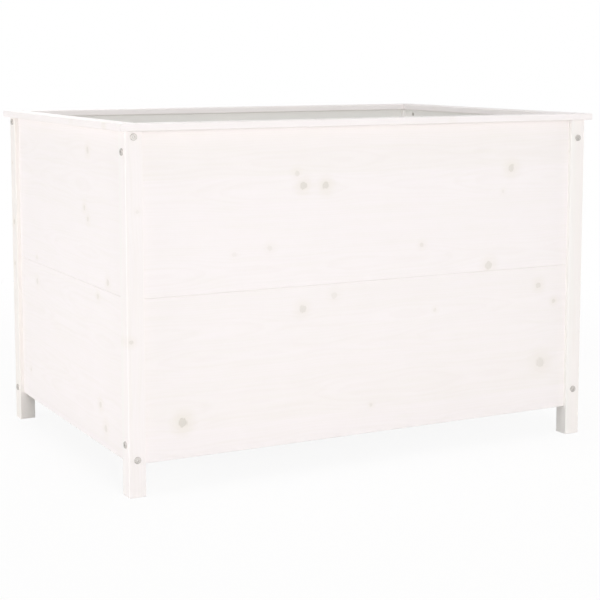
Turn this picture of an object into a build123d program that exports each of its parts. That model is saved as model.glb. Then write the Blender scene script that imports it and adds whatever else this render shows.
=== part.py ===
from build123d import *
import os

# Raised garden bed in white painted pine, standing on four corner posts.
# Millimetres. X runs along the long walls, Y along the short ones and Z is up.
# The origin is on the ground, under the middle of the bed.

# Overall size, over the rim
bed_length = 1195.0
bed_width = 825.0
bed_height = 780.0

# Corner posts
post_side = 38.0
post_round = 2.0
foot_chamfer = 1.2

# Rim boards on top, mitred at the corners
rim_thickness = 15.0
rim_width = 48.0
rim_overhang = 13.0
rim_round = 2.0

# Walls: two edge-glued panels, one above the other, on each side
wall_thickness = 18.0
wall_recess = 10.0
ground_gap = 68.0
panel_round = 1.5

# Flat-headed connecting bolts and their barrel nuts
bolt_diameter = 6.0
bolt_length = 80.0
bolt_head_diameter = 15.0
bolt_head_height = 2.4
bolt_head_round = 1.0
bolt_socket_width = 4.0
bolt_socket_depth = 3.0
bolt_tip_chamfer = 0.8
bolt_hole_gap = 0.3
bolt_end_room = 5.0
nut_diameter = 10.0
nut_length = 14.0
nut_slot_width = 1.4
nut_slot_depth = 1.6
nut_hole_gap = 0.15
thread_gap = 0.05
bolt_past_nut = 7.5

# Bolts are staggered where two walls meet in one post, so that they pass each other.
# Seen from outside, a wall's left end has the far pair and its right end the near pair.
near_bolt_inset = 12.0
far_bolt_inset = 43.0

# Wooden dowels in the panel ends and in the seam between the panels. The end dowels stand
# near the seam at a wall's left end and far from it at its right end, to miss each other.
dowel_diameter = 8.0
dowel_length = 30.0
dowel_chamfer = 1.0
dowel_hole_gap = 0.1
dowel_end_room = 1.0
near_dowel_offset = 60.0
far_dowel_offset = 90.0
seam_dowel_spacing = 360.0

# Upright battens inside, across the seam in the middle of each wall
batten_width = 45.0
batten_thickness = 18.0
batten_top_inset = 30.0
batten_foot_gap = 2.0
batten_round = 2.0
batten_screw_inset = 50.0

# Ledgers round the foot of the walls, bearers across the bed and floor slats along it
ledger_side = 30.0
ledger_inset = 5.0
ledger_end_inset = 46.0
ledger_screw_inset = 40.0
ledger_screw_spacing = 300.0
bearer_width = 38.0
bearer_height = 40.0
bearer_count = 3
bearer_end_gap = 1.0
slat_width = 95.0
slat_thickness = 18.0
slat_gap = 9.0
slat_post_gap = 2.0
slat_end_gap = 1.0
slat_round = 1.5

# Countersunk wood screws
screw_head_ratio = 2.0
screw_tip_ratio = 1.2
screw_hole_gap = 0.1
screw_slot_width = 0.8
screw_slot_depth = 1.2
rim_screw_diameter = 4.0
rim_screw_length = 40.0
rim_screw_spacing = 300.0
rim_end_screw_inset = 42.0
rim_end_screw_edge = 23.0
batten_screw_diameter = 4.0
batten_screw_length = 30.0
ledger_screw_diameter = 4.0
ledger_screw_length = 42.0
bearer_screw_diameter = 5.0
bearer_screw_length = 60.0
slat_screw_diameter = 4.0
slat_screw_length = 40.0

# Places worked out from the sizes above
post_height = bed_height - rim_thickness
wall_height = post_height - ground_gap
panel_height = wall_height / 2
seam_z = ground_gap + panel_height
post_outer = (bed_length / 2 - rim_overhang, bed_width / 2 - rim_overhang)
post_inner = (post_outer[0] - post_side, post_outer[1] - post_side)
wall_middle_depth = wall_recess + wall_thickness / 2
wall_inner_depth = wall_recess + wall_thickness
wall_inner = (post_outer[0] - wall_inner_depth, post_outer[1] - wall_inner_depth)
nut_from_post = bolt_length - post_side - bolt_past_nut
ledger_z = ground_gap + ledger_inset
bearer_z = ledger_z + ledger_side
slat_z = bearer_z + bearer_height
side_ledger_z = slat_z - ledger_side
batten_z = slat_z + slat_thickness + batten_foot_gap
batten_length = post_height - batten_top_inset - batten_z

# A wall is described as seen from outside: x from its left end to its right end, and
# depth inwards from the outer faces of its posts. Turning it about Z puts it in place.
side_names = ["front", "right", "back", "left"]
corner_names = ["front_left", "front_right", "back_right", "back_left"]


def half_span(side):
    """Half the clear length of a wall, between its two posts."""
    return post_inner[side % 2]


def place(side, shape):
    """A shape made for the front wall, turned to its own side of the bed."""
    return Rot(0, 0, 90 * side) * shape


def at_depth(side, depth):
    """The front wall's Y for a depth inwards from the outer faces of the posts."""
    return depth - post_outer[(side + 1) % 2]


def spread(length, spacing):
    """Even places along a length, about so far apart, with half a step at each end."""
    count = max(2, round(length / spacing))
    step = length / count
    return [step * (i + 0.5) - length / 2 for i in range(count)]


def between(first, last, spacing):
    """Even places from first to last, both included, about so far apart."""
    count = max(1, round((last - first) / spacing))
    return [first + (last - first) * i / count for i in range(count + 1)]


def timber(length, depth, height, rounding):
    """A planed board along X, with its four long edges eased."""
    board = Box(length, depth, height, align=(Align.CENTER, Align.MIN, Align.MIN))
    return fillet(board.edges().filter_by(Axis.X), rounding)


def wood_screw(diameter, length):
    """A countersunk cross-head screw, driven down from Z = 0."""
    radius = diameter / 2
    head_radius = radius * screw_head_ratio
    neck = head_radius - radius
    tip = diameter * screw_tip_ratio
    profile = Polyline(
        (0, 0),
        (head_radius, 0),
        (radius, -neck),
        (radius, tip - length),
        (0, -length),
        close=True,
    )
    body = revolve(make_face(Plane.XZ * profile), Axis.Z)
    slot = Box(head_radius, screw_slot_width, 2 * screw_slot_depth)
    return body - [slot, Rot(0, 0, 90) * slot]


def screw_hole(diameter, length):
    """The hole that a wood screw fills, with its countersink open at the top."""
    radius = diameter / 2 + screw_hole_gap
    head_radius = diameter / 2 * screw_head_ratio + screw_hole_gap
    neck = head_radius - radius
    profile = Polyline(
        (0, neck),
        (head_radius + neck, neck),
        (radius, -neck),
        (radius, -length - screw_hole_gap),
        (0, -length - screw_hole_gap),
        close=True,
    )
    return revolve(make_face(Plane.XZ * profile), Axis.Z)


def bolt():
    """A connecting bolt along +X, with its flat head's underside at X = 0."""
    shank = Cylinder(bolt_diameter / 2, bolt_length, align=(Align.CENTER, Align.CENTER, Align.MIN))
    shank = chamfer(shank.edges().sort_by(Axis.Z)[-1], bolt_tip_chamfer)
    head = Cylinder(
        bolt_head_diameter / 2, bolt_head_height, align=(Align.CENTER, Align.CENTER, Align.MAX)
    )
    head = fillet(head.edges().sort_by(Axis.Z)[0], bolt_head_round)
    socket = extrude(RegularPolygon(bolt_socket_width / 2, 6, major_radius=False), bolt_socket_depth)
    return Rot(0, 90, 0) * (shank + head - Pos(0, 0, -bolt_head_height) * socket)


def bolt_hole(depth):
    """A hole along +X for a bolt, starting at X = 0."""
    hole = Cylinder(
        bolt_diameter / 2 + bolt_hole_gap, depth, align=(Align.CENTER, Align.CENTER, Align.MIN)
    )
    return Rot(0, 90, 0) * hole


def barrel_nut():
    """A barrel nut lying along Y, cross-drilled along X and slotted at its inner end."""
    body = Rot(90, 0, 0) * Cylinder(nut_diameter / 2, nut_length)
    cross_hole = Rot(0, 90, 0) * Cylinder(bolt_diameter / 2 + thread_gap, 2 * nut_diameter)
    slot = Pos(0, nut_length / 2, 0) * Box(2 * nut_diameter, 2 * nut_slot_depth, nut_slot_width)
    return body - [cross_hole, slot]


def nut_hole():
    """A blind hole for a barrel nut, open on the wall's inner face."""
    back = nut_length / 2 + nut_hole_gap
    length = back + wall_thickness
    hole = Cylinder(
        nut_diameter / 2 + nut_hole_gap, length, align=(Align.CENTER, Align.CENTER, Align.MIN)
    )
    return Pos(0, -back, 0) * Rot(-90, 0, 0) * hole


def dowel():
    """A wooden dowel along Z, centred."""
    body = Cylinder(dowel_diameter / 2, dowel_length)
    return chamfer(body.edges().filter_by(GeomType.CIRCLE), dowel_chamfer)


def dowel_hole():
    """The hole for a whole dowel along Z, a little longer at both ends."""
    return Cylinder(dowel_diameter / 2 + dowel_hole_gap, dowel_length + 2 * dowel_end_room)


def bolt_heights(left_end):
    """Heights of the two bolts at one end of a wall."""
    inset = far_bolt_inset if left_end else near_bolt_inset
    return [ground_gap + inset, post_height - inset]


def end_dowel_heights(left_end):
    """Heights of the two dowels at one end of a wall, one in each panel."""
    offset = near_dowel_offset if left_end else far_dowel_offset
    return [seam_z - offset, seam_z + offset]


def at_bolts(side, left_end, from_end, shape):
    """Copies of a shape at a wall end's bolts, from_end beyond the panel's end."""
    towards_end = -1 if left_end else 1
    x = towards_end * (half_span(side) + from_end)
    turn = Rot(0, 0, 0) if left_end else Rot(0, 0, 180)
    y = at_depth(side, wall_middle_depth)
    return [place(side, Pos(x, y, z) * turn * shape) for z in bolt_heights(left_end)]


def bolts_at(side, left_end):
    return at_bolts(side, left_end, post_side, bolt())


def bolt_holes_at(side, left_end):
    depth = bolt_length + bolt_end_room
    return at_bolts(side, left_end, post_side, bolt_hole(depth))


def nuts_at(side, left_end, shape):
    """Copies of a nut, or of its hole, on the bolts at one end of a wall."""
    towards_end = -1 if left_end else 1
    x = towards_end * (half_span(side) - nut_from_post)
    y = at_depth(side, wall_middle_depth)
    return [place(side, Pos(x, y, z) * shape) for z in bolt_heights(left_end)]


def end_dowels_at(side, left_end, shape):
    """Copies of a dowel, or of its hole, half in the panels and half in the post."""
    towards_end = -1 if left_end else 1
    x = towards_end * half_span(side)
    y = at_depth(side, wall_middle_depth)
    heights = end_dowel_heights(left_end)
    return [place(side, Pos(x, y, z) * Rot(0, 90, 0) * shape) for z in heights]


def seam_dowels(side, shape):
    """Copies of a dowel, or of its hole, along the seam between a wall's panels."""
    y = at_depth(side, wall_middle_depth)
    places = spread(2 * half_span(side), seam_dowel_spacing)
    return [place(side, Pos(x, y, seam_z) * shape) for x in places]


def rim_screws(side, shape):
    """Copies of a rim screw, or of its hole: one over each post and some along the wall."""
    outer_half = half_span(side) + post_side + rim_overhang
    end_x = outer_half - rim_end_screw_inset
    end_y = at_depth(side, rim_end_screw_edge - rim_overhang)
    wall_y = at_depth(side, wall_middle_depth)
    spots = [(-end_x, end_y), (end_x, end_y)]
    spots += [(x, wall_y) for x in spread(2 * half_span(side), rim_screw_spacing)]
    return [place(side, Pos(x, y, bed_height) * shape) for x, y in spots]


def from_inside(side, x, depth, z, shape):
    """A screw, or its hole, driven outwards into a wall from a given depth."""
    return place(side, Pos(x, at_depth(side, depth), z) * Rot(-90, 0, 0) * shape)


def batten_screws(side, shape):
    """Copies of a batten screw, or of its hole: two through each panel."""
    depth = wall_inner_depth + batten_thickness
    top = batten_z + batten_length
    heights = [
        batten_z + batten_screw_inset,
        seam_z - batten_screw_inset,
        seam_z + batten_screw_inset,
        top - batten_screw_inset,
    ]
    return [from_inside(side, 0, depth, z, shape) for z in heights]


def ledger_half(side):
    """Half the length of a wall's ledger, clear of the nuts in the wall's ends."""
    return half_span(side) - ledger_end_inset


def ledger_level(side):
    """Height of a ledger's lower face: the bearers lie on the long ones, slats on the short."""
    return ledger_z if side % 2 == 0 else side_ledger_z


def ledger_screws(side, shape):
    """Copies of a ledger screw, or of its hole, along one ledger."""
    last = ledger_half(side) - ledger_screw_inset
    z = ledger_level(side) + ledger_side / 2
    depth = wall_inner_depth + ledger_side
    places = between(-last, last, ledger_screw_spacing)
    return [from_inside(side, x, depth, z, shape) for x in places]


def bearer_places():
    """The X of each bearer, dividing the floor evenly."""
    step = 2 * wall_inner[0] / (bearer_count + 1)
    return [step * (i + 1) - wall_inner[0] for i in range(bearer_count)]


def slat_places():
    """The Y of each floor slat: as many as fit between the posts, spread evenly."""
    last = post_inner[1] - slat_post_gap - slat_width / 2
    steps = int(2 * last / (slat_width + slat_gap))
    return [last * (2 * i / steps - 1) for i in range(steps + 1)]


def bearer_screws(shape):
    """Copies of a bearer screw, or of its hole, down into the long ledgers."""
    y = wall_inner[1] - ledger_side / 2
    spots = [(x, sign * y) for x in bearer_places() for sign in (-1, 1)]
    return [Pos(x, y_spot, slat_z) * shape for x, y_spot in spots]


def slat_screws(shape):
    """Copies of a slat screw, or of its hole, down into every bearer."""
    top = slat_z + slat_thickness
    return [Pos(x, y, top) * shape for x in bearer_places() for y in slat_places()]


def post(corner):
    """A corner post with its bolt and dowel holes, a wall ending on two of its faces."""
    sign_x = -1 if corner in (0, 3) else 1
    sign_y = -1 if corner in (0, 1) else 1
    body = Box(post_side, post_side, post_height, align=(Align.CENTER, Align.CENTER, Align.MIN))
    body = fillet(body.edges().filter_by(Axis.Z), post_round)
    body = chamfer(body.faces().sort_by(Axis.Z)[0].edges(), foot_chamfer)
    x = sign_x * (post_outer[0] - post_side / 2)
    y = sign_y * (post_outer[1] - post_side / 2)
    before = (corner - 1) % 4
    rim_hole = screw_hole(rim_screw_diameter, rim_screw_length)
    cuts = bolt_holes_at(corner, True) + bolt_holes_at(before, False)
    cuts += end_dowels_at(corner, True, dowel_hole()) + end_dowels_at(before, False, dowel_hole())
    cuts += rim_screws(corner, rim_hole)[:1] + rim_screws(before, rim_hole)[1:2]
    return Pos(x, y, 0) * body - cuts


def wall_panel(side, upper):
    """One of a wall's two panels, with every hole that reaches it."""
    z = seam_z if upper else ground_gap
    board = timber(2 * half_span(side), wall_thickness, panel_height, panel_round)
    board = place(side, Pos(0, at_depth(side, wall_recess), z) * board)
    cuts = seam_dowels(side, dowel_hole())
    for left_end in (True, False):
        level = 1 if upper else 0
        cuts.append(bolt_holes_at(side, left_end)[level])
        cuts.append(nuts_at(side, left_end, nut_hole())[level])
        cuts.append(end_dowels_at(side, left_end, dowel_hole())[level])
    batten_holes = batten_screws(side, screw_hole(batten_screw_diameter, batten_screw_length))
    if upper:
        cuts += batten_holes[2:]
        cuts += rim_screws(side, screw_hole(rim_screw_diameter, rim_screw_length))[2:]
    else:
        cuts += batten_holes[:2]
        cuts += ledger_screws(side, screw_hole(ledger_screw_diameter, ledger_screw_length))
    return board - cuts


def rim_board(side):
    """A rim board with both ends mitred, lying on the wall and its posts."""
    half_length = half_span(side) + post_side + rim_overhang
    y = at_depth(side, -rim_overhang)
    board = Pos(0, y, post_height) * timber(2 * half_length, rim_width, rim_thickness, rim_round)
    outline = Polyline(
        (-half_length, y),
        (half_length, y),
        (half_length - rim_width, y + rim_width),
        (-half_length + rim_width, y + rim_width),
        close=True,
    )
    mitred = extrude(make_face(outline), bed_height)
    return place(side, board & mitred) - rim_screws(
        side, screw_hole(rim_screw_diameter, rim_screw_length)
    )


def batten(side):
    """An upright batten over the seam, in the middle of a wall's inner face."""
    bar = Box(
        batten_width, batten_thickness, batten_length, align=(Align.CENTER, Align.MIN, Align.MIN)
    )
    bar = fillet(bar.edges().filter_by(Axis.Z), batten_round)
    bar = place(side, Pos(0, at_depth(side, wall_inner_depth), batten_z) * bar)
    return bar - batten_screws(side, screw_hole(batten_screw_diameter, batten_screw_length))


def ledger(side):
    """A ledger along the foot of a wall."""
    bar = timber(2 * ledger_half(side), ledger_side, ledger_side, slat_round)
    bar = place(side, Pos(0, at_depth(side, wall_inner_depth), ledger_level(side)) * bar)
    cuts = ledger_screws(side, screw_hole(ledger_screw_diameter, ledger_screw_length))
    if side % 2 == 0:
        cuts += bearer_screws(screw_hole(bearer_screw_diameter, bearer_screw_length))
    return bar - cuts


def bearer(x):
    """A bearer across the bed, lying on the two long ledgers."""
    length = 2 * (wall_inner[1] - bearer_end_gap)
    bar = timber(length, bearer_width, bearer_height, slat_round)
    bar = Pos(x, 0, bearer_z) * Rot(0, 0, 90) * Pos(0, -bearer_width / 2, 0) * bar
    cuts = bearer_screws(screw_hole(bearer_screw_diameter, bearer_screw_length))
    cuts += slat_screws(screw_hole(slat_screw_diameter, slat_screw_length))
    return bar - cuts


def slat(y):
    """A floor slat along the bed, with gaps beside it for drainage."""
    length = 2 * (wall_inner[0] - slat_end_gap)
    board = timber(length, slat_width, slat_thickness, slat_round)
    board = Pos(0, y - slat_width / 2, slat_z) * board
    return board - slat_screws(screw_hole(slat_screw_diameter, slat_screw_length))


def every_end(make):
    """What make(side, left_end) gives for both ends of all four walls, in one list."""
    return [piece for side in range(4) for left_end in (True, False) for piece in make(side, left_end)]


def every_side(make):
    """What make(side) gives for all four walls, in one list."""
    return [piece for side in range(4) for piece in make(side)]


def write(name, shape):
    export_step(shape, f"parts/{name}.step")


def write_group(name, pieces):
    """Identical fasteners in one file, each one its own solid."""
    write(name, Compound(children=[piece.solid() for piece in pieces]))


os.makedirs("parts", exist_ok=True)

for corner, name in enumerate(corner_names):
    write(f"post_{name}", post(corner))

for side, name in enumerate(side_names):
    write(f"wall_{name}_upper", wall_panel(side, True))
    write(f"wall_{name}_lower", wall_panel(side, False))
    write(f"rim_{name}", rim_board(side))
    write(f"batten_{name}", batten(side))
    write(f"ledger_{name}", ledger(side))

for number, x in enumerate(bearer_places(), 1):
    write(f"floor_bearer_{number}", bearer(x))

for number, y in enumerate(slat_places(), 1):
    write(f"floor_slat_{number}", slat(y))

write_group("wall_bolts", every_end(bolts_at))
write_group("barrel_nuts", every_end(lambda side, left_end: nuts_at(side, left_end, barrel_nut())))
write_group("end_dowels", every_end(lambda side, left_end: end_dowels_at(side, left_end, dowel())))
write_group("seam_dowels", every_side(lambda side: seam_dowels(side, dowel())))

rim_screw = wood_screw(rim_screw_diameter, rim_screw_length)
batten_screw = wood_screw(batten_screw_diameter, batten_screw_length)
ledger_screw = wood_screw(ledger_screw_diameter, ledger_screw_length)
write_group("rim_screws", every_side(lambda side: rim_screws(side, rim_screw)))
write_group("batten_screws", every_side(lambda side: batten_screws(side, batten_screw)))
write_group("ledger_screws", every_side(lambda side: ledger_screws(side, ledger_screw)))
write_group("bearer_screws", bearer_screws(wood_screw(bearer_screw_diameter, bearer_screw_length)))
write_group("slat_screws", slat_screws(wood_screw(slat_screw_diameter, slat_screw_length)))
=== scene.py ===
import math

import bpy
import numpy as np
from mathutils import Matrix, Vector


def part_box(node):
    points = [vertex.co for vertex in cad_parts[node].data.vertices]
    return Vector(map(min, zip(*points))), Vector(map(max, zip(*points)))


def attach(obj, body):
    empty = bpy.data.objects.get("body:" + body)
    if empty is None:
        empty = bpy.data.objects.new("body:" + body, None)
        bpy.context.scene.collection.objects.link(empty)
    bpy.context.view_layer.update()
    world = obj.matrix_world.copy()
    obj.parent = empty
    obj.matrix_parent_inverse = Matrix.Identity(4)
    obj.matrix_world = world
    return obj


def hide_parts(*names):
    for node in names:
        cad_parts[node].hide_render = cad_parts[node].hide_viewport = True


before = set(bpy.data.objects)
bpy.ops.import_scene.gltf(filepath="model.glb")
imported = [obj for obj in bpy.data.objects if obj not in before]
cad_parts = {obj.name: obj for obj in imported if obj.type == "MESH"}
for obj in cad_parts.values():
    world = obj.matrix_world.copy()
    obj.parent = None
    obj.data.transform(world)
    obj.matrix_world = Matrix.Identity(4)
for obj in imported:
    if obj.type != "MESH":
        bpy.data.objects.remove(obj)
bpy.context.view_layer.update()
scene = bpy.context.scene
print("frame loaded with", len(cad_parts), "nodes")


# Camera, lamps and floor

viewSettings = {
    "place": (-1.6476, -3.1898, 0.9173),  # metres
    "yaw": 0.4831,  # radians to the right of +Y
    "pitch": 0.1118,  # radians downwards
    "focalPixels": 1465.1,  # in a picture 600 wide
    "picture": 600,
    "middleRow": 220,  # the picture row that the lens looks along
}


def addCamera(settings):
    wide = settings["picture"]
    data = bpy.data.cameras.new("bedCamera")
    data.sensor_width = 36.0
    data.lens = settings["focalPixels"] / wide * data.sensor_width
    data.shift_y = (settings["middleRow"] - wide / 2) / wide
    data.clip_end = 60.0
    camera = bpy.data.objects.new("bedCamera", data)
    camera.location = settings["place"]
    camera.rotation_euler = (math.pi / 2 - settings["pitch"], 0.0, -settings["yaw"])
    scene.collection.objects.link(camera)
    scene.camera = camera


addCamera(viewSettings)
scene.view_settings.view_transform = "Standard"


# sRGB hex to linear: c / 12.92 near black, else ((c + 0.055) / 1.055) to the power 2.4
def linearColour(text):
    parts = np.array([int(text[i:i + 2], 16) for i in (1, 3, 5)]) / 255.0
    straight = np.where(parts <= 0.04045, parts / 12.92, ((parts + 0.055) / 1.055) ** 2.4)
    return (*straight.tolist(), 1.0)


# Adds one node with its properties, its unlinked inputs and its links
def addNode(tree, kind, inputs=None, links=None, **properties):
    node = tree.nodes.new(kind)
    for name, value in properties.items():
        setattr(node, name, value)
    for socket, value in (inputs or {}).items():
        node.inputs[socket].default_value = value
    for socket, source in (links or {}).items():
        tree.links.new(source, node.inputs[socket])
    return node


# Sets the stops of a colour ramp, each a place and a linear colour or a grey
def setStops(node, stops):
    ramp = node.color_ramp
    while len(ramp.elements) < len(stops):
        ramp.elements.new(1.0)
    for element, (place, colour) in zip(ramp.elements, stops):
        element.position = place
        element.color = colour if isinstance(colour, tuple) else (colour, colour, colour, 1.0)


studioSettings = {
    "sky": 0.52,  # what the white room gives the bed
    "lamps": {
        "frontBox": {"place": (-0.9, -5.3, 1.3), "size": 1.9, "power": 88.0},
        "leftBox": {"place": (-5.0, -0.3, 0.9), "size": 1.9, "power": 75.0},
        "rightBox": {"place": (4.9, -0.8, 1.1), "size": 1.9, "power": 56.0},
        "backBox": {"place": (0.8, 5.0, 1.2), "size": 1.9, "power": 64.0},
        "topBox": {"place": (-0.2, -0.3, 4.2), "size": 2.4, "power": 30.0},
    },
    "aim": (0.0, 0.0, 0.35),
    "floorHalf": 20.0,  # metres
    "floorColour": "#F4F3F2",
    "shadowShare": 0.1,  # how much of the floor's own light shows beside plain white
    "shadowReach": (1.1, 2.6),  # metres from the bed's middle over which the shadow fades out
}


# 1 for the rays that show a surface, from the camera, by a mirror or through glass, and 0 for the rest
def seenRays(tree):
    rays = addNode(tree, "ShaderNodeLightPath")
    glossy = addNode(tree, "ShaderNodeMath", operation="MAXIMUM",
                     links={0: rays.outputs["Is Camera Ray"], 1: rays.outputs["Is Glossy Ray"]})
    return addNode(tree, "ShaderNodeMath", operation="MAXIMUM",
                   links={0: glossy.outputs[0], 1: rays.outputs["Is Transmission Ray"]})


def addWorld(settings):
    world = bpy.data.worlds.new("whiteRoom")
    world.use_nodes = True
    tree = world.node_tree
    tree.nodes.clear()
    seen = seenRays(tree)
    light = addNode(tree, "ShaderNodeBackground", {"Color": (1, 1, 1, 1), "Strength": settings["sky"]})
    shown = addNode(tree, "ShaderNodeBackground", {"Color": (1, 1, 1, 1), "Strength": 1.0})
    mix = addNode(tree, "ShaderNodeMixShader",
                  links={0: seen.outputs[0], 1: light.outputs[0], 2: shown.outputs[0]})
    addNode(tree, "ShaderNodeOutputWorld", links={"Surface": mix.outputs[0]})
    scene.world = world


# Square soft boxes that all face the middle of the bed
def addLamps(settings):
    for name, lamp in settings["lamps"].items():
        data = bpy.data.lights.new(name, "AREA")
        data.shape = "SQUARE"
        data.size = lamp["size"]
        data.energy = lamp["power"]
        box = bpy.data.objects.new(name, data)
        box.location = lamp["place"]
        way = np.array(settings["aim"]) - np.array(lamp["place"])
        flat = math.hypot(way[0], way[1])
        box.rotation_euler = (math.atan2(flat, -way[2]), 0.0, math.atan2(way[1], way[0]) - math.pi / 2)
        scene.collection.objects.link(box)


# A flat sheet, a grid of x and y, that shows white and keeps a share of the bed's shadow
def addFloor(settings):
    count = 24
    side = np.linspace(-settings["floorHalf"], settings["floorHalf"], count + 1)
    x, y = np.meshgrid(side, side)
    points = np.stack([x, y, np.zeros_like(x)], axis=-1).reshape(-1, 3)
    corner = (np.arange(count)[:, None] * (count + 1) + np.arange(count)).reshape(-1, 1)
    faces = corner + np.array([0, 1, count + 2, count + 1])
    mesh = bpy.data.meshes.new("studioFloor")
    mesh.from_pydata(points.tolist(), [], faces.tolist())
    floor = bpy.data.objects.new("studioFloor", mesh)
    scene.collection.objects.link(floor)
    material = bpy.data.materials.new("matt white floor sheet")
    material.use_nodes = True
    tree = material.node_tree
    tree.nodes.clear()
    place = addNode(tree, "ShaderNodeTexCoord")
    away = addNode(tree, "ShaderNodeVectorMath", operation="LENGTH", links={0: place.outputs["Object"]})
    near, far = settings["shadowReach"]
    share = addNode(tree, "ShaderNodeMapRange", {1: near, 2: far, 3: 1.0 - settings["shadowShare"], 4: 1.0},
                    {0: away.outputs["Value"]}, interpolation_type="SMOOTHSTEP")
    seen = seenRays(tree)
    amount = addNode(tree, "ShaderNodeMath", operation="MULTIPLY",
                     links={0: share.outputs[0], 1: seen.outputs[0]})
    grain = addNode(tree, "ShaderNodeTexNoise", {"Scale": 40.0, "Detail": 3.0},
                    {"Vector": place.outputs["Object"]})
    tint = addNode(tree, "ShaderNodeValToRGB", links={"Fac": grain.outputs["Fac"]})
    setStops(tint, [(0.0, linearColour("#EFEEED")), (1.0, linearColour(settings["floorColour"]))])
    cloth = addNode(tree, "ShaderNodeBsdfDiffuse", {"Roughness": 0.6}, {"Color": tint.outputs["Color"]})
    white = addNode(tree, "ShaderNodeEmission", {"Color": (1, 1, 1, 1), "Strength": 1.0})
    mix = addNode(tree, "ShaderNodeMixShader",
                  links={0: amount.outputs[0], 1: cloth.outputs[0], 2: white.outputs[0]})
    addNode(tree, "ShaderNodeOutputMaterial", links={"Surface": mix.outputs[0]})
    mesh.materials.append(material)


addWorld(studioSettings)
addLamps(studioSettings)
addFloor(studioSettings)
print("camera, lamps and floor are up")


# Materials

# Planed white pine under one thin coat of satin white: the eye gets an even warm white, with knots and the
# darker late wood of the growth rings just showing through, and paint a touch thinner on the eased edges.
# It reads what each board's mesh carries, in mm: grain (along, across, ring), marks (distance from the
# nearest knot in knot radii, how dark that knot is, end grain) and tones (stave tone, eased edge, share of
# the painted shade coat on faces toward the inside).
paintSettings = {
    "coat": "#FAF5F5",
    # a greyer coat for faces toward the inside of the bed: painted shade, set to how the shaded interior
    # reads
    "insideShadeCoat": "#F8F7F4",
    "coatOverWarmStave": "#F5F1EC",
    "lateWood": "#E9E1DD",
    "knotHeart": "#DFDBD4",
    "knotRim": "#D0CAC0",
    "knotHalo": "#EDE7DC",
    "endGrain": "#E4DBCD",
    "ringSpacing": 3.4,  # mm between growth rings
    "streakLength": 260.0,  # mm
    "streakWidth": 9.0,  # mm
    "fibreLength": 22.0,  # mm
    "fibreWidth": 0.7,  # mm
    "brush": (90.0, 60.0),  # mm, length and width of one unevenness of the coat
    "knotLump": (9.0, 7.0),  # mm, along and across one lump of a knot's outline
    "haloReach": (4.2, 0.8),  # knot radii over which the halo comes up
    "haloShare": 0.6,
    "ringShare": 0.1,
    "streakShare": 0.3,
    "edgeShare": 0.08,
    "roughness": 0.56,
    "shine": 0.15,
    "bump": 0.35,
    "bumpDepth": 0.00012,  # metres
}


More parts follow.
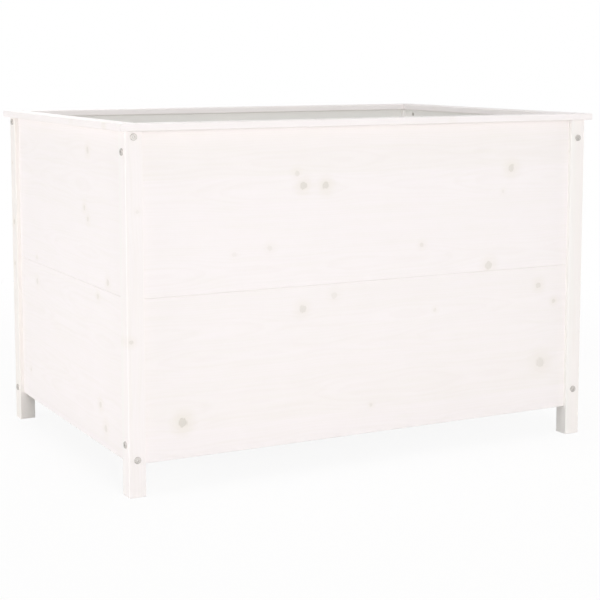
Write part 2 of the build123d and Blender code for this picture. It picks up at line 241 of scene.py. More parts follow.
def paintedPine(name, settings):
    material = bpy.data.materials.new(name)
    material.use_nodes = True
    tree = material.node_tree
    tree.nodes.clear()

    grain = addNode(tree, "ShaderNodeAttribute", attribute_name="grain").outputs["Vector"]
    marks = addNode(tree, "ShaderNodeAttribute", attribute_name="marks").outputs["Vector"]
    tones = addNode(tree, "ShaderNodeAttribute", attribute_name="tones").outputs["Vector"]
    grainParts = addNode(tree, "ShaderNodeSeparateXYZ", links={0: grain}).outputs
    markParts = addNode(tree, "ShaderNodeSeparateXYZ", links={0: marks}).outputs
    toneParts = addNode(tree, "ShaderNodeSeparateXYZ", links={0: tones}).outputs

    # streaks and fibres, stretched along the grain
    streakSpace = addNode(
        tree, "ShaderNodeMapping",
        {"Scale": (1 / settings["streakLength"], 1 / settings["streakWidth"], 1 / settings["streakWidth"])},
        {"Vector": grain})
    streak = addNode(tree, "ShaderNodeTexNoise", {"Scale": 1.0, "Detail": 4.0, "Roughness": 0.6},
                     {"Vector": streakSpace.outputs[0]})
    fibreSpace = addNode(
        tree, "ShaderNodeMapping",
        {"Scale": (1 / settings["fibreLength"], 1 / settings["fibreWidth"], 1 / settings["fibreWidth"])},
        {"Vector": grain})
    fibre = addNode(tree, "ShaderNodeTexNoise", {"Scale": 1.0, "Detail": 3.0},
                    {"Vector": fibreSpace.outputs[0]})
    brushLength, brushWidth = settings["brush"]
    brushSpace = addNode(tree, "ShaderNodeMapping",
                         {"Scale": (1 / brushLength, 1 / brushWidth, 1 / brushWidth)}, {"Vector": grain})
    brush = addNode(tree, "ShaderNodeTexNoise", {"Scale": 1.0, "Detail": 2.0},
                    {"Vector": brushSpace.outputs[0]})

    # growth rings: a slow darkening through the year and a quick end to it
    turns = addNode(tree, "ShaderNodeMath", {1: 1 / settings["ringSpacing"]}, {0: grainParts["Z"]},
                    operation="MULTIPLY")
    waved = addNode(tree, "ShaderNodeMath", {1: 0.9}, {0: streak.outputs["Fac"], 2: turns.outputs[0]},
                    operation="MULTIPLY_ADD")
    phase = addNode(tree, "ShaderNodeMath", links={0: waved.outputs[0]}, operation="FRACT")
    ring = addNode(tree, "ShaderNodeValToRGB", links={"Fac": phase.outputs[0]})
    setStops(ring, [(0.0, 0.0), (0.45, 0.12), (0.8, 0.85), (0.9, 1.0), (1.0, 0.0)])

    # paint over the stave's own tone, with streaks
    streakTone = addNode(tree, "ShaderNodeMapRange", {1: 0.42, 2: 0.7, 3: 0.0, 4: settings["streakShare"]},
                         {0: streak.outputs["Fac"]})
    brushTone = addNode(tree, "ShaderNodeMapRange", {1: 0.3, 2: 0.7, 3: -0.08, 4: 0.08},
                        {0: brush.outputs["Fac"]})
    edgeTone = addNode(tree, "ShaderNodeMath", {1: settings["edgeShare"]}, {0: toneParts["Y"]},
                       operation="MULTIPLY")
    toneSum = addNode(tree, "ShaderNodeMath", links={0: streakTone.outputs[0], 1: toneParts["X"]},
                      operation="ADD")
    toneSum = addNode(tree, "ShaderNodeMath", links={0: toneSum.outputs[0], 1: brushTone.outputs[0]},
                      operation="ADD")
    toneSum = addNode(tree, "ShaderNodeMath", links={0: toneSum.outputs[0], 1: edgeTone.outputs[0]},
                      operation="ADD", use_clamp=True)
    coat = addNode(tree, "ShaderNodeMix",
                   {6: linearColour(settings["coat"]), 7: linearColour(settings["coatOverWarmStave"])},
                   {0: toneSum.outputs[0]}, data_type="RGBA")
    ringAmount = addNode(tree, "ShaderNodeMath", {1: settings["ringShare"]}, {0: ring.outputs["Color"]},
                         operation="MULTIPLY")
    # faces toward the inside take the greyer coat: painted shade for the shaded interior
    insideShaded = addNode(tree, "ShaderNodeMix", {7: linearColour(settings["insideShadeCoat"])},
                    {0: toneParts["Z"], 6: coat.outputs[2]}, data_type="RGBA")
    wood = addNode(tree, "ShaderNodeMix", {7: linearColour(settings["lateWood"])},
                   {0: ringAmount.outputs[0], 6: insideShaded.outputs[2]}, data_type="RGBA")

    # knots: a soft halo, an uneven outline, a darker rim at one radius and rings inside it
    lumpLength, lumpWidth = settings["knotLump"]
    lumpSpace = addNode(tree, "ShaderNodeMapping", {"Scale": (1 / lumpLength, 1 / lumpWidth, 1 / lumpWidth)},
                        {"Vector": grain})
    lump = addNode(tree, "ShaderNodeTexNoise", {"Scale": 1.0, "Detail": 3.0, "Roughness": 0.65},
                   {"Vector": lumpSpace.outputs[0]})
    uneven = addNode(tree, "ShaderNodeMapRange", {1: 0.3, 2: 0.7, 3: -0.32, 4: 0.32},
                     {0: lump.outputs["Fac"]}, clamp=False)
    distance = addNode(tree, "ShaderNodeMath", links={0: markParts["X"], 1: uneven.outputs[0]},
                       operation="ADD")
    far, near = settings["haloReach"]
    halo = addNode(tree, "ShaderNodeMapRange", {1: far, 2: near, 3: 0.0, 4: settings["haloShare"]},
                   {0: distance.outputs[0]}, interpolation_type="SMOOTHSTEP")
    heart = addNode(tree, "ShaderNodeMapRange", {1: 1.25, 2: 0.7, 3: 0.0, 4: 1.0},
                    {0: distance.outputs[0]}, interpolation_type="SMOOTHSTEP")
    half = addNode(tree, "ShaderNodeMath", {1: 0.5}, {0: distance.outputs[0]}, operation="MULTIPLY")
    rim = addNode(tree, "ShaderNodeValToRGB", links={"Fac": half.outputs[0]})
    setStops(rim, [(0.0, 1.0), (0.08, 0.3), (0.18, 0.6), (0.28, 0.15), (0.42, 0.9), (0.6, 0.0)])
    haloAmount = addNode(tree, "ShaderNodeMath", links={0: halo.outputs[0], 1: markParts["Y"]},
                         operation="MULTIPLY")
    heartAmount = addNode(tree, "ShaderNodeMath", links={0: heart.outputs[0], 1: markParts["Y"]},
                          operation="MULTIPLY")
    heartColour = addNode(
        tree, "ShaderNodeMix",
        {6: linearColour(settings["knotHeart"]), 7: linearColour(settings["knotRim"])},
        {0: rim.outputs["Color"]}, data_type="RGBA")
    haloed = addNode(tree, "ShaderNodeMix", {7: linearColour(settings["knotHalo"])},
                     {0: haloAmount.outputs[0], 6: wood.outputs[2]}, data_type="RGBA")
    knotted = addNode(tree, "ShaderNodeMix",
                      links={0: heartAmount.outputs[0], 6: haloed.outputs[2], 7: heartColour.outputs[2]},
                      data_type="RGBA")

    # end grain drinks the paint: rings stand out and the pores stay open
    endRings = addNode(tree, "ShaderNodeMapRange", {1: 0.0, 2: 1.0, 3: 0.3, 4: 1.0},
                       {0: ring.outputs["Color"]})
    endAmount = addNode(tree, "ShaderNodeMath", links={0: endRings.outputs[0], 1: markParts["Z"]},
                        operation="MULTIPLY")
    ended = addNode(tree, "ShaderNodeMix", {7: linearColour(settings["endGrain"])},
                    {0: endAmount.outputs[0], 6: knotted.outputs[2]}, data_type="RGBA")

    # the late wood and the fibres stand a few hundredths of a millimetre proud through the coat
    ringHeight = addNode(tree, "ShaderNodeMath", {1: 0.7}, {0: ring.outputs["Color"]}, operation="MULTIPLY")
    height = addNode(tree, "ShaderNodeMath", {1: 0.6}, {0: fibre.outputs["Fac"], 2: ringHeight.outputs[0]},
                     operation="MULTIPLY_ADD")
    bump = addNode(tree, "ShaderNodeBump",
                   {"Strength": settings["bump"], "Distance": settings["bumpDepth"]},
                   {"Height": height.outputs[0]})
    sheen = addNode(tree, "ShaderNodeMapRange",
                    {1: 0.25, 2: 0.75, 3: settings["roughness"] - 0.07, 4: settings["roughness"] + 0.09},
                    {0: fibre.outputs["Fac"]})
    surface = addNode(tree, "ShaderNodeBsdfPrincipled",
                      {"IOR": 1.48, "Specular IOR Level": settings["shine"]},
                      {"Base Color": ended.outputs[2], "Roughness": sheen.outputs[0],
                       "Normal": bump.outputs[0]})
    addNode(tree, "ShaderNodeOutputMaterial", links={"Surface": surface.outputs[0]})
    return material


# Bright zinc plating over cold-formed steel: the eye gets a light grey metal with a soft, slightly uneven
# shine and faint drawn lines. It reads Object coordinates, in metres.
steelSettings = {
    "zinc": "#CECAC6",
    "duller": "#B4B0AC",
    "blotch": 0.004,  # metres across one blotch of the plating
    "drawn": 0.0006,  # metres between drawn lines
    "roughness": (0.4, 0.56),
    "bump": 0.15,
}


def zincPlatedSteel(name, settings):
    material = bpy.data.materials.new(name)
    material.use_nodes = True
    tree = material.node_tree
    tree.nodes.clear()
    place = addNode(tree, "ShaderNodeTexCoord").outputs["Object"]
    blotch = addNode(tree, "ShaderNodeTexNoise", {"Scale": 1 / settings["blotch"], "Detail": 3.0},
                     {"Vector": place})
    drawn = addNode(tree, "ShaderNodeTexNoise", {"Scale": 1 / settings["drawn"], "Detail": 1.0},
                    {"Vector": place})
    colour = addNode(tree, "ShaderNodeValToRGB", links={"Fac": blotch.outputs["Fac"]})
    setStops(colour, [(0.3, linearColour(settings["duller"])), (0.62, linearColour(settings["zinc"]))])
    low, high = settings["roughness"]
    sheen = addNode(tree, "ShaderNodeMapRange", {1: 0.3, 2: 0.7, 3: low, 4: high},
                    {0: blotch.outputs["Fac"]})
    bump = addNode(tree, "ShaderNodeBump", {"Strength": settings["bump"], "Distance": 0.00005},
                   {"Height": drawn.outputs["Fac"]})
    surface = addNode(tree, "ShaderNodeBsdfPrincipled", {"Metallic": 1.0},
                      {"Base Color": colour.outputs["Color"], "Roughness": sheen.outputs[0],
                       "Normal": bump.outputs[0]})
    addNode(tree, "ShaderNodeOutputMaterial", links={"Surface": surface.outputs[0]})
    return material


# Turned beech, unpainted: the eye gets a pinkish tan with short dark flecks, stretched along one axis
beechSettings = {
    "pale": "#D9B78E",
    "dark": "#B98F65",
    "fleck": "#8E6746",
    "fleckLength": 0.004,  # metres
    "fleckWidth": 0.0005,  # metres
    "bump": 0.3,
}


def turnedBeech(name, settings, along):
    material = bpy.data.materials.new(name)
    material.use_nodes = True
    tree = material.node_tree
    tree.nodes.clear()
    place = addNode(tree, "ShaderNodeTexCoord").outputs["Object"]
    scale = [1 / settings["fleckWidth"]] * 3
    scale[along] = 1 / settings["fleckLength"]
    space = addNode(tree, "ShaderNodeMapping", {"Scale": scale}, {"Vector": place})
    fleck = addNode(tree, "ShaderNodeTexNoise", {"Scale": 1.0, "Detail": 2.0}, {"Vector": space.outputs[0]})
    tone = addNode(tree, "ShaderNodeTexNoise", {"Scale": 60.0, "Detail": 3.0}, {"Vector": place})
    colour = addNode(tree, "ShaderNodeValToRGB", links={"Fac": tone.outputs["Fac"]})
    setStops(colour, [(0.35, linearColour(settings["dark"])), (0.65, linearColour(settings["pale"]))])
    amount = addNode(tree, "ShaderNodeMapRange", {1: 0.6, 2: 0.72, 3: 0.0, 4: 0.7},
                     {0: fleck.outputs["Fac"]})
    flecked = addNode(tree, "ShaderNodeMix", {7: linearColour(settings["fleck"])},
                      {0: amount.outputs[0], 6: colour.outputs["Color"]}, data_type="RGBA")
    sheen = addNode(tree, "ShaderNodeMapRange", {1: 0.3, 2: 0.7, 3: 0.5, 4: 0.66},
                    {0: fleck.outputs["Fac"]})
    bump = addNode(tree, "ShaderNodeBump", {"Strength": settings["bump"], "Distance": 0.0001},
                   {"Height": fleck.outputs["Fac"]})
    surface = addNode(tree, "ShaderNodeBsdfPrincipled", {},
                      {"Base Color": flecked.outputs[2], "Roughness": sheen.outputs[0],
                       "Normal": bump.outputs[0]})
    addNode(tree, "ShaderNodeOutputMaterial", links={"Surface": surface.outputs[0]})
    return material


pine = paintedPine("white painted knotty pine", paintSettings)
steel = zincPlatedSteel("bright zinc plated steel", steelSettings)
print("materials are mixed")


# Boards

# Places of the lines across one side of a board, from -half to half. Between the stops they follow the sum
# of 1 / spacing, where the spacing grows by half a mm for each mm outside a (centre, reach, step) spot. An
# eased edge gets ease * tan(angle) for even angles, which easedBox turns into even steps round its arc.
def gridLines(half, eases, spacing, spots, stops):
    low = -half + eases[0]
    high = half - eases[1]
    inside = np.unique(np.round([p for p in stops if low + 0.2 < p < high - 0.2], 3))
    stops = [low, *inside.tolist(), high]
    lines = [np.array([low])]
    for start, stop in zip(stops, stops[1:]):
        x = np.linspace(start, stop, 240)
        wanted = np.full_like(x, spacing)
        for centre, reach, step in spots:
            wanted = np.minimum(wanted, step + 0.5 * np.maximum(np.abs(x - centre) - reach, 0.0))
        sums = np.concatenate([[0.0], np.cumsum(np.diff(x) * 0.5 * (1 / wanted[1:] + 1 / wanted[:-1]))])
        count = max(1, round(sums[-1]))
        lines.append(np.interp(np.linspace(0.0, sums[-1], count + 1)[1:], sums, x))
    arc = np.tan(np.linspace(0.0, math.pi / 4, 4))[1:]
    return np.concatenate([low - eases[0] * arc[::-1], *lines, high + eases[1] * arc])


# The six sides of a box as grids of two parameters, welded along its edges. Each side is a list of rows of
# points and its cells, four corners each, counter-clockwise from outside.
def boxGrid(lines):
    points = []
    cells = []
    total = 0
    for axis in range(3):
        u = lines[(axis + 1) % 3]
        v = lines[(axis + 2) % 3]
        gridU, gridV = np.meshgrid(u, v, indexing="ij")
        corner = (np.arange(len(u) - 1)[:, None] * len(v) + np.arange(len(v) - 1)).reshape(-1, 1)
        for level in (-1, 0):
            side = np.zeros((len(u) * len(v), 3))
            side[:, (axis + 1) % 3] = gridU.ravel()
            side[:, (axis + 2) % 3] = gridV.ravel()
            side[:, axis] = lines[axis][level]
            order = [0, len(v), len(v) + 1, 1] if level == -1 else [0, 1, len(v) + 1, len(v)]
            points.append(side)
            cells.append(corner + np.array(order) + total)
            total += len(side)
    points = np.concatenate(points)
    cells = np.concatenate(cells)
    first, back = np.unique(np.round(points, 5), axis=0, return_index=True, return_inverse=True)[1:]
    return points[first], back.reshape(-1)[cells]


# A point past the flat part of a side is pulled onto a ball: q is the point clamped to the flat part, d is
# (point - q) / ease, and it goes to q + ease * d / |d|
def easedBox(points, halves, eases):
    low = eases[:, 0] - halves
    high = halves - eases[:, 1]
    held = np.clip(points, low, high)
    ease = np.where(points < 0, eases[:, 0], eases[:, 1])
    away = (points - held) / ease
    normal = away / np.linalg.norm(away, axis=1, keepdims=True)
    return held + ease * normal, normal


# What the wood is at each point. The rings are circles round a pith that lies beside the stave:
# ring = sqrt((across - pith)^2 + (depth - pith)^2) + slow waves along the grain. Near a knot the across
# coordinate shrinks towards it by 1 - 0.85 * exp(-squared distance / 2), so that the grain flows round it.
# The face sinks by gluedDepth along a glue line, and at a knot by 0.25 * darkness * exp(-squared distance).
def woodAt(points, normal, halves, timber):
    rng = np.random.default_rng(timber["seed"])
    a, b, c = points.T
    glue = np.array(timber["glue"])
    count = len(glue) + 1
    stave = np.searchsorted(glue, b, side="right")
    borders = np.concatenate([[-halves[1]], glue, [halves[1]]])
    pithB = (borders[:-1] + borders[1:]) / 2 + rng.uniform(-35, 35, count)
    pithC = -rng.uniform(35, 85, count)
    swing = rng.uniform(0, 2 * math.pi, count)
    drift = rng.uniform(-0.014, 0.014, count)
    ownTone = np.array(timber["tones"]) if len(timber["tones"]) == count else rng.uniform(0.0, 0.3, count)
    knots = np.array(timber["knots"], float).reshape(-1, 4)
    da = a[:, None] - knots[:, 0]
    db = b[:, None] - knots[:, 1]
    size = knots[:, 2]
    pull = 0.85 * np.exp(-0.5 * ((da / (2.2 * size)) ** 2 + (db / (1.5 * size)) ** 2))
    across = b - (pull * db).sum(axis=1)
    away = np.sqrt(da ** 2 + db ** 2) / size
    if len(knots):
        nearest = away.argmin(axis=1)
        distance = np.minimum(away.min(axis=1), 6.0)
        dark = knots[nearest, 3]
    else:
        distance = np.full_like(a, 6.0)
        dark = np.zeros_like(a)
    ring = np.sqrt((across - pithB[stave]) ** 2 + (c - pithC[stave]) ** 2) + drift[stave] * a
    ring += 2.4 * np.sin(a / 98 + swing[stave]) + 0.8 * np.sin(a / 33 + 2 * swing[stave] + b / 60)
    grain = np.stack([a + 1000 * stave + 137 * timber["seed"], across + 300 * stave, ring], axis=1)
    marks = np.stack([distance, dark, normal[:, 0] ** 2], axis=1)
    toEdge = np.sort(halves - np.abs(points), axis=1)[:, 1]
    # share of the painted shade coat, rising across the thickness towards the faces toward the inside of the
    # bed
    inside = np.clip(timber["inside"][0] + timber["inside"][1] * c / halves[2], 0.0, 1.0)
    tones = np.stack([ownTone[stave], np.exp(-np.maximum(toEdge, 0.0) / 1.5), inside], axis=1)
    depth = -timber["gluedDepth"] * (np.abs(b[:, None] - glue) < 0.25).any(axis=1)
    depth = depth - 0.25 * dark * np.exp(-distance ** 2)
    return grain, marks, tones, depth


# One board from its timber settings. Local a runs along the grain, b across it, and c out of the side that
# is seen. turn holds these three directions as columns, and the node's box gives its place and size.
# Holes are (a, b, side, ((radius, depth), ...)): the cells over each one are taken out, and rings run from
# the border of that gap to a circle, down the hole's profile and to its closed bottom.
def addBoard(name, node, turn, timber):
    low, high = (np.array(corner) * 1000 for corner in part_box(node))
    middle = (low + high) / 2
    halves = np.abs(turn.T @ (high - low)) / 2
    eases = np.array(timber["eases"], float)
    gaps = [(hole, hole[3][0][0] * 1.45 + 0.4) for hole in timber["holes"]]
    spots = [(knot[0], 1.6 * knot[2], knot[2] / 2.4) for knot in timber["knots"]]
    stopsA = [-halves[0] + eases[0, 0] + 3, halves[0] - eases[0, 1] - 3]
    stopsA += [hole[0] / timber["shrinkAt"](hole[1]) + reach * k / 4
               for hole, reach in gaps for k in range(-4, 5)]
    linesA = gridLines(halves[0], eases[0], timber["spacing"][0], spots, stopsA)
    spots = [(knot[1], 1.5 * knot[2], knot[2] / 2.4) for knot in timber["knots"]]
    stopsB = [-halves[1] + eases[1, 0] + 3, halves[1] - eases[1, 1] - 3]
    stopsB += [g + step for g in timber["glue"] for step in (-0.5, 0.0, 0.5)]
    stopsB += [hole[1] + reach * k / 4 for hole, reach in gaps for k in range(-4, 5)]
    linesB = gridLines(halves[1], eases[1], timber["spacing"][1], spots, stopsB)
    linesC = gridLines(halves[2], eases[2], 5.0, [], [])
    flat, cells = boxGrid([linesA, linesB, linesC])
    points, normal = easedBox(flat, halves, eases)
    shrink = timber["shrinkAt"](points[:, 1])
    points[:, 0] *= shrink

    faces = [cells]
    extra = []
    total = len(points)
    kept = np.ones(len(cells), bool)
    for (a, b, side, profile), reach in gaps:
        startA = a / timber["shrinkAt"](b)
        level = linesC[-1 if side > 0 else 0]
        cellFlat = flat[cells]
        centre = cellFlat.mean(axis=1)
        over = (np.abs(cellFlat[:, :, 2] - level) < 1e-6).all(axis=1)
        over &= (np.abs(centre[:, 0] - startA) < reach) & (np.abs(centre[:, 1] - b) < reach)
        kept &= ~over
        # the border runs from corner to corner of cells that only one taken cell has
        loops = cells[over]
        edges = np.concatenate([loops[:, [k, (k + 1) % 4]] for k in range(4)])
        keys = edges[:, 0] * total + edges[:, 1]
        backKeys = edges[:, 1] * total + edges[:, 0]
        border = edges[~np.isin(keys, backKeys)]
        offset = points[border[:, 0], :2] - (a, b)
        order = np.argsort(np.arctan2(offset[:, 1], offset[:, 0]) * side)
        ringIds = border[order, 0]
        way = offset[order] / np.linalg.norm(offset[order], axis=1, keepdims=True)
        number = len(ringIds)
        for radius, depth in profile:
            circle = np.column_stack([(a, b) + way * radius, np.full(number, level - side * depth)])
            ids = total + sum(len(added) for added in extra) + np.arange(number)
            extra.append(circle)
            faces.append(np.column_stack([ringIds, np.roll(ringIds, -1), np.roll(ids, -1), ids]))
            ringIds = ids
        bottom = total + sum(len(added) for added in extra)
        extra.append(np.array([[a, b, level - side * profile[-1][1]]]))
        faces.append(np.column_stack([ringIds, np.roll(ringIds, -1), np.full(number, bottom),
                                      np.full(number, bottom)]))
    faces[0] = cells[kept]
    if extra:
        added = np.concatenate(extra)
        points = np.concatenate([points, added])
        normal = np.concatenate([normal, np.zeros_like(added)])
    grain, marks, tones, depth = woodAt(points, normal, halves, timber)
    points[:, 2] += depth * np.sign(normal[:, 2]) * normal[:, 2] ** 4

    used = np.unique(np.concatenate([part.ravel() for part in faces]))
    renumber = np.zeros(len(points), int)
    renumber[used] = np.arange(len(used))
    world = (middle + points[used] @ turn.T) / 1000
    polygons = []
    for part in faces:
        part = renumber[part]
        polygons += part[:, :3].tolist() if (part[:, 2] == part[:, 3]).all() else part.tolist()
    mesh = bpy.data.meshes.new(name)
    mesh.from_pydata(world.tolist(), [], polygons)
    for label, values in (("grain", grain), ("marks", marks), ("tones", tones)):
        layer = mesh.attributes.new(label, "FLOAT_VECTOR", "POINT")
        layer.data.foreach_set("vector", values[used].astype(np.float32).ravel())
    mesh.polygons.foreach_set("use_smooth", np.ones(len(mesh.polygons), bool))
    mesh.set_sharp_from_angle(angle=math.radians(42))
    mesh.materials.append(timber["material"])
    board = bpy.data.objects.new(name, mesh)
    scene.collection.objects.link(board)
    keep = board.modifiers.new("flatSides", "WEIGHTED_NORMAL")
    keep.keep_sharp = True
    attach(board, "root")
    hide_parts(node)
    return len(mesh.polygons)


# Knots strewn over a board, clear of its edges: (along, across, radius, darkness)
def strewKnots(seed, count, halfAlong, halfAcross, radii, darkness=(0.25, 0.6)):
    rng = np.random.default_rng(seed)
    return np.column_stack([
        rng.uniform(-halfAlong, halfAlong, count),
        rng.uniform(-halfAcross, halfAcross, count),
        rng.uniform(*radii, count),
        rng.uniform(*darkness, count),
    ]).tolist()


sides = ["front", "right", "back", "left"]
corners = ["frontLeft", "frontRight", "backRight", "backLeft"]
cornerNodes = ["front_left", "front_right", "back_right", "back_left"]


# The directions along a side, into the bed and up, as columns, after its quarter turns about Z
def sideTurn(side):
    along = np.round([math.cos(side * math.pi / 2), math.sin(side * math.pi / 2), 0.0])
    inward = np.round([-math.sin(side * math.pi / 2), math.cos(side * math.pi / 2), 0.0])
    return along, inward, np.array([0.0, 0.0, 1.0])


def noShrink(across):
    return 1.0 + 0.0 * across


def screwHole(diameter):
    wide = diameter + 0.1
    return ((wide, 0.0), (diameter / 2 + 0.1, diameter / 2), (diameter / 2 + 0.1, diameter * 1.5))


polygonCount = 0

# Wall panels: edge-glued staves, all sizes in mm, heights above the ground. Knots are (along, height,
# radius, darkness), along counted from the middle of the wall to its right end, seen from outside.
wallSettings = {
    "ease": 1.5,
    "endEase": 0.2,
    "spacing": (15.0, 10.0),
    "gluedDepth": 0.12,
    "nutRadius": 5.15,
    "nutDepth": 16.15,
    "nutFromEnd": 34.5,
    "nearInset": 12.0,
    "farInset": 43.0,
    "panels": {
        "frontUpper": {
            "glue": [538.0, 661.0], "tones": [0.0, 0.02, 0.28],
            "knots": [(-186, 664, 6, 0.35), (-170, 637, 8, 0.55), (-115, 635, 8, 0.55), (380, 655, 9, 0.5),
                      (320, 430, 9, 0.45), (134, 489, 5, 0.3), (357, 601, 4, 0.2), (-252, 505, 6, 0.2),
                      (-336, 497, 5, 0.15)],
        },
        "frontLower": {
            "glue": [124.0, 222.0, 319.0], "tones": [0.0, 0.22, 0.15, 0.12],
            "knots": [(-458, 146, 10, 0.7), (-173, 366, 8, 0.4), (474, 184, 12, 0.4), (465, 372, 7, 0.45),
                      (510, 330, 5, 0.4), (172, 336, 4, 0.25), (3, 132, 4, 0.3), (-93, 390, 7, 0.25)],
        },
        "leftUpper": {
            "glue": [571.0, 668.0], "tones": [0.02, 0.1, 0.16],
            "knots": [(119, 584, 6, 0.35), (142, 560, 6, 0.35), (146, 712, 7, 0.35), (-233, 430, 5, 0.2),
                      (261, 436, 7, 0.35)],
        },
        "leftLower": {
            "glue": [166.0, 262.0, 340.0], "tones": [0.05, 0.08, 0.12, 0.05],
            "knots": [(205, 158, 7, 0.4), (236, 112, 8, 0.35), (-298, 140, 5, 0.25), (198, 397, 6, 0.3),
                      (-233, 371, 7, 0.3)],
        },
    },
}


def addWalls(settings):
    faces = 0
    for side, sideName in enumerate(sides):
        along, inward, up = sideTurn(side)
        turn = np.column_stack([along, up, -inward])
        for upper in (False, True):
            name = sideName + ("Upper" if upper else "Lower")
            node = f"wall_{sideName}_{'upper' if upper else 'lower'}"
            low, high = (np.array(corner) * 1000 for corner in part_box(node))
            half = np.abs(turn.T @ (high - low)) / 2
            middle = (low[2] + high[2]) / 2
            seed = 11 + 2 * side + upper
            own = settings["panels"].get(name)
            if own:
                glue = [height - middle for height in own["glue"]]
                tones = own["tones"]
                knots = [(x, z - middle, radius, dark) for x, z, radius, dark in own["knots"]]
            else:
                rng = np.random.default_rng(seed)
                glue = (np.array([-58.0, 57.0]) + rng.uniform(-22, 22, 2)).tolist()
                tones = rng.uniform(0.0, 0.3, 3).tolist()
                number = 7 if half[0] > 400 else 5
                knots = strewKnots(seed + 40, number, half[0] - 50, half[1] - 30, (4, 11))
            nearZ = settings["nearInset"]
            farZ = settings["farInset"]
            sign = 1 if upper else -1
            profile = ((settings["nutRadius"], 0.0), (settings["nutRadius"], settings["nutDepth"]))
            end = half[0] - settings["nutFromEnd"]
            holes = [(-end, sign * (half[1] - farZ), -1, profile),
                     (end, sign * (half[1] - nearZ), -1, profile)]
            faces += addBoard("wallPanel" + name[0].upper() + name[1:], node, turn, {
                "seed": seed, "glue": glue, "tones": tones, "knots": knots, "holes": holes,
                "eases": [(settings["endEase"],) * 2, (settings["ease"],) * 2, (settings["ease"],) * 2],
                "spacing": settings["spacing"], "gluedDepth": settings["gluedDepth"], "shrinkAt": noShrink,
                # the inner face takes the painted shade coat in full
                "inside": (0.0, -1.0), "material": pine,
            })
    return faces


polygonCount += addWalls(wallSettings)
print("wall panels are up,", polygonCount, "faces so far")

# Corner posts. Knots are (height, across, radius, darkness) on the face beside the wall of the same number.
postSettings = {
    "ease": 2.0,
    "footEase": 1.2,
    "topEase": 0.3,
    "spacing": (16.0, 6.0),
    "tones": [0.15, 0.45, 0.35, 0.7],
    "knots": {
        "frontLeft": [(330, 11, 5, 0.4), (600, -6, 4, 0.2)],
        "frontRight": [(240, 4, 5, 0.3), (520, -9, 4, 0.25), (690, 8, 3, 0.2)],
    },
}


def addPosts(settings):
    faces = 0
    for corner, cornerName in enumerate(corners):
        along, inward, up = sideTurn(corner)
        node = "post_" + cornerNodes[corner]
        low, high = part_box(node)
        middle = (low[2] + high[2]) * 500
        knots = settings["knots"].get(cornerName)
        if knots:
            knots = [(z - middle, across, radius, dark) for z, across, radius, dark in knots]
        else:
            knots = strewKnots(71 + corner, 3, 340, 14, (3, 6))
        faces += addBoard("cornerPost" + cornerName[0].upper() + cornerName[1:], node,
                          np.column_stack([up, -along, -inward]), {
            "seed": 31 + corner, "glue": [], "tones": [settings["tones"][corner]], "knots": knots,
            "holes": [],
            "eases": [(settings["footEase"], settings["topEase"]), (settings["ease"],) * 2,
                      (settings["ease"],) * 2],
            "spacing": settings["spacing"], "gluedDepth": 0.0, "shrinkAt": noShrink,
            # the inward face takes 0.7 of the painted shade coat, darkening the post's inside corner
            "inside": (0.0, -0.7), "material": pine,
        })
    return faces


polygonCount += addPosts(postSettings)

# Rim boards, mitred: each line across the board is shortened so that both ends run at 45 degrees
rimSettings = {
    "ease": 2.0,
    "endEase": 0.4,
    "spacing": (16.0, 6.0),
    "tones": [0.0, 0.02, 0.04, 0.06],
    "screw": 4.0,
    "endScrewInset": 42.0,
    "endScrewEdge": 23.0,
    "wallScrewEdge": 32.0,
    "screwSpacing": 300.0,
    "postAndOverhang": 51.0,
}


# Even places along a length, half a step in from each end
def evenPlaces(length, spacing):
    count = max(2, round(length / spacing))
    step = length / count
    return [step * (i + 0.5) - length / 2 for i in range(count)]


def addRim(settings):
    faces = 0
    for side, sideName in enumerate(sides):
        along, inward, up = sideTurn(side)
        node = "rim_" + sideName
        turn = np.column_stack([along, inward, up])
        low, high = (np.array(corner) * 1000 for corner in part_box(node))
        half = np.abs(turn.T @ (high - low)) / 2
        end = half[0] - settings["endScrewInset"]
        clear = 2 * (half[0] - settings["postAndOverhang"])
        spots = [(-end, settings["endScrewEdge"]), (end, settings["endScrewEdge"])]
        spots += [(x, settings["wallScrewEdge"]) for x in evenPlaces(clear, settings["screwSpacing"])]
        holes = [(x, edge - half[1], 1, screwHole(settings["screw"])) for x, edge in spots]
        faces += addBoard("rimBoard" + sideName.capitalize(), node, turn, {
            "seed": 51 + side, "glue": [], "tones": [settings["tones"][side]],
            "knots": strewKnots(90 + side, 5, half[0] - 90, half[1] - 8, (3, 6)), "holes": holes,
            "eases": [(settings["endEase"],) * 2, (settings["ease"],) * 2, (settings["ease"],) * 2],
            "spacing": settings["spacing"], "gluedDepth": 0.0, "inside": (0.0, 0.0), "material": pine,
            "shrinkAt": lambda across, half=half: 1.0 - (across + half[1]) / half[0],
        })
    return faces


polygonCount += addRim(rimSettings)
print("posts and rim are up,", polygonCount, "faces so far")

# Inside the bed: battens, ledgers, bearers and floor slats, all planed square and painted the same
insideSettings = {
    "battenEase": 2.0,
    "ease": 1.5,
    "endEase": 0.4,
    "spacing": (20.0, 8.0),
    "battenScrewInset": 50.0,
    "seam": 416.5,
    "ledgerScrewInset": 40.0,
    "ledgerScrewSpacing": 300.0,
    "bearerScrewFromEnd": 14.0,
    "screw": 4.0,
    "bearerScrew": 5.0,
}


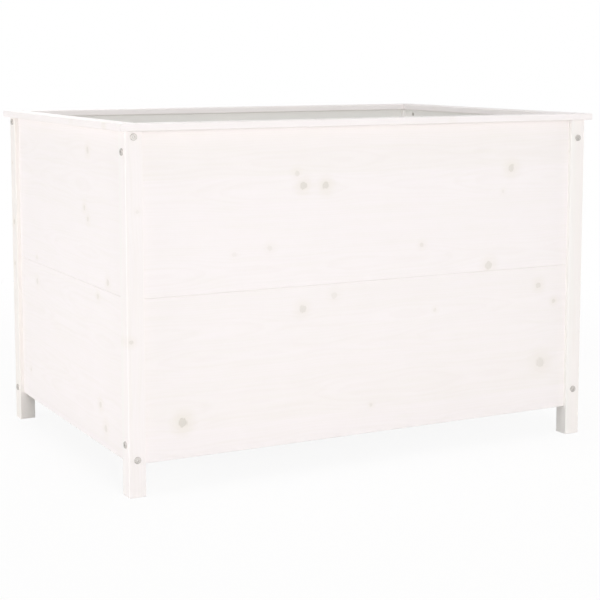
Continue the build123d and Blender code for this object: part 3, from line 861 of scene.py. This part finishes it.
def addInside(settings):
    faces = 0
    up = np.array([0.0, 0.0, 1.0])
    # every face of the inside pieces takes the painted shade coat in full
    plain = {"glue": [], "gluedDepth": 0.0, "shrinkAt": noShrink, "inside": (1.0, 0.0), "material": pine,
             "spacing": settings["spacing"]}

    def boxOf(node, turn):
        low, high = (np.array(corner) * 1000 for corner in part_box(node))
        return (low + high) / 2, np.abs(turn.T @ (high - low)) / 2

    for side, sideName in enumerate(sides):
        along, inward, up = sideTurn(side)
        turn = np.column_stack([up, along, inward])
        middle, half = boxOf("batten_" + sideName, turn)
        inset = settings["battenScrewInset"]
        seam = settings["seam"] - middle[2]
        hole = screwHole(settings["screw"])
        holes = [(z, 0.0, 1, hole) for z in (inset - half[0], seam - inset, seam + inset, half[0] - inset)]
        faces += addBoard("batten" + sideName.capitalize(), "batten_" + sideName, turn, {
            **plain, "seed": 101 + side, "tones": [0.2 + 0.05 * side], "holes": holes,
            "knots": strewKnots(110 + side, 3, half[0] - 30, 14, (3, 6)),
            "eases": [(settings["endEase"],) * 2, (settings["battenEase"],) * 2,
                      (settings["battenEase"],) * 2],
        })
        turn = np.column_stack([along, -up, inward])
        middle, half = boxOf("ledger_" + sideName, turn)
        last = half[0] - settings["ledgerScrewInset"]
        number = max(1, round(2 * last / settings["ledgerScrewSpacing"]))
        holes = [(x, 0.0, 1, hole) for x in np.linspace(-last, last, number + 1).tolist()]
        faces += addBoard("ledger" + sideName.capitalize(), "ledger_" + sideName, turn, {
            **plain, "seed": 121 + side, "tones": [0.3], "holes": holes,
            "knots": strewKnots(130 + side, 3, half[0] - 30, 10, (3, 5)),
            "eases": [(settings["endEase"],) * 2, (settings["ease"],) * 2, (settings["ease"],) * 2],
        })
    bearers = sorted(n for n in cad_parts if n.startswith("floor_bearer_"))
    slats = sorted(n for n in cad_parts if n.startswith("floor_slat_"))
    turn = np.column_stack([(0.0, 1.0, 0.0), (-1.0, 0.0, 0.0), (0.0, 0.0, 1.0)])
    bearerX = []
    for number, node in enumerate(bearers, 1):
        middle, half = boxOf(node, turn)
        bearerX.append(middle[0])
        end = half[0] - settings["bearerScrewFromEnd"]
        hole = screwHole(settings["bearerScrew"])
        faces += addBoard(f"floorBearer{number}", node, turn, {
            **plain, "seed": 140 + number, "tones": [0.35],
            "holes": [(-end, 0.0, 1, hole), (end, 0.0, 1, hole)],
            "knots": strewKnots(150 + number, 3, half[0] - 40, 12, (3, 6)),
            "eases": [(settings["endEase"],) * 2, (settings["ease"],) * 2, (settings["ease"],) * 2],
        })
    turn = np.eye(3)
    for number, node in enumerate(slats, 1):
        middle, half = boxOf(node, turn)
        hole = screwHole(settings["screw"])
        faces += addBoard(f"floorSlat{number}", node, turn, {
            **plain, "seed": 160 + number, "tones": [0.1 + 0.04 * number],
            "holes": [(x - middle[0], 0.0, 1, hole) for x in bearerX],
            "knots": strewKnots(170 + number, 5, half[0] - 40, half[1] - 12, (4, 9)),
            "eases": [(settings["endEase"],) * 2, (settings["ease"],) * 2, (settings["ease"],) * 2],
        })
    return faces


polygonCount += addInside(insideSettings)
print("inside is in,", polygonCount, "faces in all the boards")


# Bolts, nuts, screws and dowels keep their CAD shape and get their finish
def finishNodes(names, material):
    for name in names:
        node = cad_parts[name]
        node.data.materials.clear()
        node.data.materials.append(material)


finishNodes(["wall_bolts", "barrel_nuts", "rim_screws", "batten_screws", "ledger_screws", "bearer_screws",
             "slat_screws"], steel)
finishNodes(["end_dowels"], turnedBeech("plain turned beech", beechSettings, 0))
finishNodes(["seam_dowels"], turnedBeech("plain turned beech, upright", beechSettings, 2))
